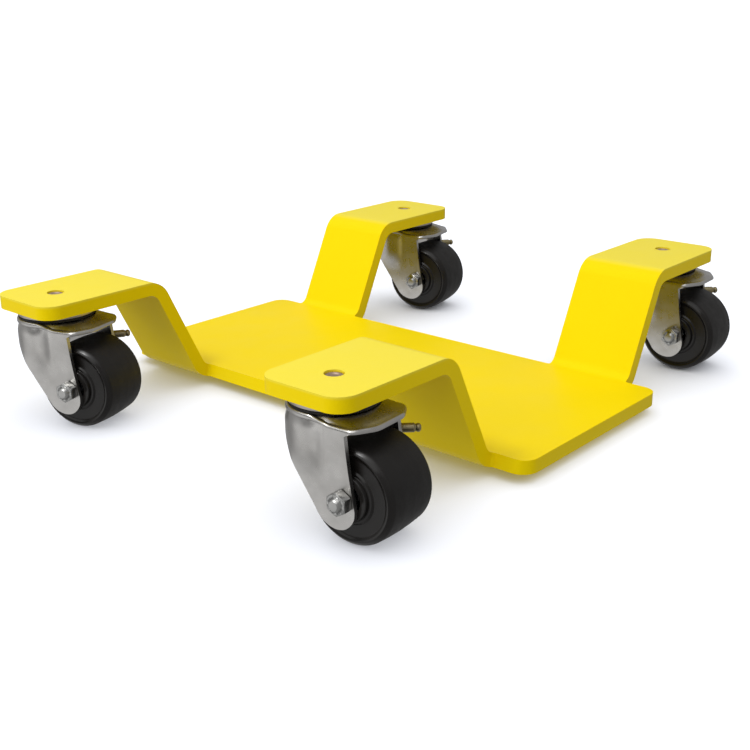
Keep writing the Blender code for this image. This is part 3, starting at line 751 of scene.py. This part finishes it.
def threaded_bolt():
    """M8 bolt along Z: head at +Z with a washer face, ridged thread at its free end."""
    head = chamfered_hex("axle_bolt", HEX_ACROSS_FLATS, NUT_FACE + 0.4 * MM,
                         NUT_FACE + 5.3 * MM, both_ends=False)
    washer_radius, washer_top = 6.1 * MM, NUT_FACE + 1 * MM
    root_radius, pitch, ridges = 3.45 * MM, 1.25 * MM, 9
    thread_start, chamfer, end = -24.5 * MM, -35.6 * MM, -36.1 * MM
    profile = [(0, washer_top, 0), (washer_radius, washer_top, 0),
               (washer_radius, NUT_FACE, 0.1 * MM), (AXLE_RADIUS, NUT_FACE, 0),
               (AXLE_RADIUS, -22 * MM, 0)]
    for ridge in range(ridges):
        z = thread_start - ridge * pitch
        profile += [(root_radius, z, 0.1 * MM), (AXLE_RADIUS, z - 0.62 * MM, 0.08 * MM)]
    profile += [(3.5 * MM, chamfer, 0), (3.0 * MM, end, 0.1 * MM), (0, end, 0)]
    return smooth(joined(head, [lathe("shank", profile, steps=48, solid=True, segments=2)]))


def axle_nut():
    """M8 nut on the bolt's free end, with a countersunk mouth."""
    bore_end, mouth = -NUT_FACE - 5.9 * MM, -NUT_FACE - 6.6 * MM
    nut = chamfered_hex("axle_nut", HEX_ACROSS_FLATS, -NUT_FACE - 6.5 * MM, -NUT_FACE)
    bore = lathe("bore", [
        (0, 0, 0), (4.1 * MM, 0, 0), (4.1 * MM, bore_end, 0), (4.8 * MM, mouth, 0),
        (0, mouth, 0),
    ], steps=48, solid=True)
    return smooth(boolean(nut, bore, "DIFFERENCE"))


def wheel():
    """One-piece wheel along Z: crowned tread, round shoulders, dished faces, hub bosses."""
    half = millimetres([
        (9.8, 23.7, 0.4), (14.0, 23.7, 0.7), (14.8, 21.2, 0.6), (16.2, 21.1, 0.4),
        (17.4, 20.1, 0.9), (25.0, 19.9, 1.5), (26.6, 21.0, 0.9), (27.9, 21.4, 0.5),
        (28.9, 20.6, 0.8), (30.9, 18.6, 3.2), (31.5, 9.5, 12.0),
    ])
    crest = 0.25 * MM
    corners = half + [(WHEEL_RADIUS, crest, 0.0), (WHEEL_RADIUS, -crest, 0.0)]
    corners += [(radius, -z, rounding) for radius, z, rounding in reversed(half)]
    return smooth(lathe("wheel", corners, steps=96, segments=6), angle=40)


def grease_nipple():
    """Elbow fitting on the +Y leg: hexagon base along +Y, and a slanting ball-shaped head."""
    base = chamfered_hex("grease_nipple", 6.6 * MM, LEG_FACE + 0.2 * MM, LEG_FACE + 3.8 * MM)
    stem_radius, stem_top, stem_end = 2.4 * MM, LEG_FACE + 0.4 * MM, LEG_FACE - 2.6 * MM
    stem = lathe("stem", [
        (0, stem_top, 0), (stem_radius, stem_top, 0), (stem_radius, stem_end, 0),
        (0, stem_end, 0),
    ], steps=32, solid=True)
    head = lathe("head", millimetres([
        (0, 13.4, 0), (1.5, 13.4, 0.3), (2.7, 12.2, 0.7), (2.6, 10.9, 0.5), (2.15, 10.0, 0.4),
        (2.9, 8.8, 0.4), (2.9, 0.6, 0.5), (2.4, -1.2, 0.8), (0, -1.2, 0),
    ]), steps=32, solid=True)
    slant = Matrix.Rotation(math.radians(-51), 4, "Z") @ LAID_ALONG_Y
    base.data.transform(LAID_ALONG_Y)
    stem.data.transform(LAID_ALONG_Y)
    head.data.transform(Matrix.Translation((0, LEG_FACE + 3.0 * MM, 0)) @ slant)
    return smooth(joined(base, [stem, head]))


# --- floor, light and camera ------------------------------------------------------------------

ROOM_GREY = 0.40
# each patch of the room: its direction, the cosines where it fades in and is full, and its grey
ROOM_PATCHES = [
    ((-0.71, 0.64, -0.29), 0.86, 0.99, 0.95),
    ((-0.95, 0.10, -0.28), 0.945, 0.992, 1.08),
    ((-0.85, 0.38, 0.42), 0.88, 0.96, 0.10),
]


def make_floor():
    """A wide pale floor, which neither tints nor shows in the dolly."""
    half_size = 60.0
    shade, light = (0.73, 0.745, 0.79), (0.74, 0.755, 0.80)
    bm = bmesh.new()
    bmesh.ops.create_grid(bm, x_segments=1, y_segments=1, size=half_size)
    floor = new_piece("floor", bm)
    floor.location.z = FLOOR - 0.1 * MM
    material = bpy.data.materials.new("white_floor")
    nodes = Nodes(material)
    color = nodes.blend(nodes.spread(nodes.noise(2.0), 0, 1), shade, light)
    nodes.surface(color, nodes.spread(nodes.noise(5.0), 0.80, 0.85), Specular_IOR_Level=0.1)
    floor.data.materials.append(material)
    floor.visible_diffuse = False
    floor.visible_glossy = False
    return floor


def make_room(world):
    """A dim grey room, a little paler above the floor, that the camera sees as plain white.

    It has two bright low patches and a dark high one, which the fork legs mirror.
    """
    world.use_nodes = True
    tree = world.node_tree
    background = tree.nodes["Background"]
    coordinates = tree.nodes.new("ShaderNodeTexCoord")
    axes = tree.nodes.new("ShaderNodeSeparateXYZ")
    tree.links.new(coordinates.outputs["Generated"], axes.inputs["Vector"])
    parts = [(axes.outputs["Z"], -0.4, 0.4, 0.47)]
    for direction, low, high, grey in ROOM_PATCHES:
        toward = tree.nodes.new("ShaderNodeVectorMath")
        toward.operation = "DOT_PRODUCT"
        toward.inputs[1].default_value = Vector(direction).normalized()
        tree.links.new(coordinates.outputs["Generated"], toward.inputs[0])
        parts.append((toward.outputs["Value"], low, high, grey))
    rays = tree.nodes.new("ShaderNodeLightPath")
    parts.append((rays.outputs["Is Camera Ray"], 0.0, 1.0, 1.0))
    room = None
    for source, low, high, grey in parts:
        share = tree.nodes.new("ShaderNodeMapRange")
        share.interpolation_type = "SMOOTHSTEP"
        share.inputs["From Min"].default_value = low
        share.inputs["From Max"].default_value = high
        mix = tree.nodes.new("ShaderNodeMix")
        mix.data_type = "RGBA"
        mix.inputs["A"].default_value = (ROOM_GREY, ROOM_GREY, ROOM_GREY, 1.0)
        mix.inputs["B"].default_value = (grey, grey, grey, 1.0)
        tree.links.new(source, share.inputs["Value"])
        tree.links.new(share.outputs["Result"], mix.inputs["Factor"])
        if room:
            tree.links.new(room, mix.inputs["A"])
        room = mix.outputs["Result"]
    tree.links.new(room, background.inputs["Color"])
    background.inputs["Strength"].default_value = 1.0


def add_light(name, light, direction, receivers):
    """Put a light in the scene so that it shines from a direction, only on the receivers."""
    lamp = bpy.data.objects.new(name, light)
    lamp.rotation_mode = "QUATERNION"
    lamp.rotation_quaternion = Vector(direction).to_track_quat("Z", "Y")
    bpy.context.scene.collection.objects.link(lamp)
    lamp.light_linking.receiver_collection = receivers
    return lamp


def sky_panel(name, direction, energy, spread, receivers):
    """A wide overhead light."""
    sun = bpy.data.lights.new(name, "SUN")
    sun.energy = energy
    sun.angle = math.radians(spread)
    return add_light(name, sun, direction, receivers)


def make_light(floor):
    """Two overhead panels, one for the dolly and one for the floor, and a small edge light.

    The left casters don't shade the floor's panel, so that the floor stays pale round them.
    """
    scene = bpy.context.scene
    scene.view_settings.view_transform = "Standard"
    scene.world = bpy.data.worlds.new("studio")
    make_room(scene.world)
    dolly = bpy.data.collections.new("lit_dolly")
    ground = bpy.data.collections.new("lit_ground")
    ground.objects.link(floor)
    shading = bpy.data.collections.new("shading_floor")
    for obj in scene.objects:
        if obj.type == "MESH" and obj is not floor:
            dolly.objects.link(obj)
            if not obj.name.endswith("_left"):
                shading.objects.link(obj)
    sky_panel("dolly_panel", (-0.50, 0.12, 0.86), 1.50, 80, dolly)
    floor_panel = sky_panel("floor_panel", (-0.10, 0.00, 1.00), 3.9, 150, ground)
    floor_panel.light_linking.blocker_collection = shading
    lamp = bpy.data.lights.new("edge_light", "AREA")
    lamp.size = 0.25
    lamp.energy = 6.0
    lamp_place = (-0.9, 0.1, 1.1)
    add_light("edge_light", lamp, lamp_place, dolly).location = lamp_place


def make_camera():
    """Camera with a 54 mm lens, beyond and above the front left caster."""
    yaw, pitch, roll = (math.radians(angle) for angle in (41.276, -19.117, -0.574))
    forward = Vector((math.cos(pitch) * math.cos(yaw), math.cos(pitch) * math.sin(yaw),
                      math.sin(pitch)))
    level = Vector((math.sin(yaw), -math.cos(yaw), 0))
    upright = level.cross(forward)
    right = math.cos(roll) * level + math.sin(roll) * upright
    up = math.cos(roll) * upright - math.sin(roll) * level
    data = bpy.data.cameras.new("camera")
    data.sensor_width = 36.0
    data.lens = 54.0
    data.shift_x = 0.0055
    data.shift_y = -0.0128
    camera = bpy.data.objects.new("camera", data)
    axes = Matrix((right, up, -forward)).transposed().to_4x4()
    camera.matrix_world = Matrix.Translation((-0.6516, -0.5631, 0.2973)) @ axes
    bpy.context.scene.collection.objects.link(camera)
    bpy.context.scene.camera = camera


# --- assembly ------------------------------------------------------------------------------------

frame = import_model()

coat = powder_coat()
zinc = plated_steel("zinc_plate", (0.38, 0.37, 0.355), (0.49, 0.48, 0.465), 0.24, 0.36)
bolt = plated_steel("bolt_plate", (0.33, 0.33, 0.32), (0.43, 0.43, 0.42), 0.22, 0.34)
bearing = plated_steel("bearing_steel", (0.50, 0.50, 0.51), (0.60, 0.60, 0.61), 0.15, 0.25)
stud = plated_steel("stud_plate", (0.42, 0.30, 0.23), (0.55, 0.42, 0.34), 0.38, 0.52)
# the grease nipple's brownish yellow is a painted reflection of the yellow ramp beside it
ramp_reflection_steel = plated_steel("nipple_painted_reflection", (0.24, 0.20, 0.11), (0.34, 0.29, 0.17), 0.34, 0.48)
# the races' darker, brownish grey is painted shade and painted yellow reflection from the pad above
# them
race = plated_steel("race_plate_painted_shade", (0.36, 0.33, 0.30), (0.46, 0.43, 0.40), 0.28, 0.40)
nylon = moulded_black()
rubber = black_rubber()

# the inner pieces keep their CAD shapes
inner_looks = {"axle_sleeve": bearing, "roller_bearing": bearing, "upper_ball_ring": bearing,
               "lower_ball_ring": bearing, "lower_race": race, "kingpin_nut": zinc}
for name, node in frame["nodes"].items():
    for kind, material in inner_looks.items():
        if name.startswith(kind):
            for material_slot in node.material_slots:
                material_slot.material = material

body = plate()
body.data.materials.clear()
body.data.materials.append(coat)
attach(body, "frame")
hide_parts("bent_plate")

# each piece's shape, look, slot in the record, what it rides on, and its place in the caster
upright = Matrix.Identity(4)
on_leg = Matrix.Translation(NIPPLE_PLACE)
on_axle = Matrix.Translation((TRAIL, 0, WHEEL_RADIUS)) @ LAID_ALONG_Y
caster_pieces = {
    "kingpin": (kingpin(), stud, "stud_steel", "frame", upright),
    "top_race": (top_race(), race, "zinc_steel", "frame", upright),
    "dust_seal": (dust_seal(), rubber, "seal_rubber", "fork", upright),
    "fork": (fork(), zinc, "zinc_steel", "fork", upright),
    "axle_bolt": (threaded_bolt(), bolt, "zinc_steel", "fork", on_axle),
    "axle_nut": (axle_nut(), bolt, "zinc_steel", "fork", on_axle),
    "grease_nipple": (grease_nipple(), ramp_reflection_steel, "stud_steel", "fork", on_leg),
    "wheel": (wheel(), nylon, "wheel_black", "wheel", on_axle),
}
for shape, material, *_ in caster_pieces.values():
    shape.data.materials.clear()
    shape.data.materials.append(material)

joint_of = {joint["child"]: joint for joint in frame["joints"]}
for corner in CORNERS:
    swivel = Vector(joint_of["fork_" + corner]["pos_m"])
    swivel.z = FLOOR
    axle = Vector(joint_of["wheel_" + corner]["pos_m"])
    heading = math.atan2(axle.y - swivel.y, axle.x - swivel.x)
    caster = Matrix.Translation(swivel) @ Matrix.Rotation(heading, 4, "Z")
    for kind, (shape, _, slot, holder, place) in caster_pieces.items():
        piece = bpy.data.objects.new(f"{kind}_shape_{corner}", shape.data)
        bpy.context.scene.collection.objects.link(piece)
        piece.matrix_world = caster @ place
        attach(piece, holder if holder == "frame" else f"{holder}_{corner}")
        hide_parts(f"{kind}_{corner}")
for shape, *_ in caster_pieces.values():
    bpy.data.objects.remove(shape, do_unlink=True)

make_light(make_floor())
make_camera()

bpy.context.view_layer.update()
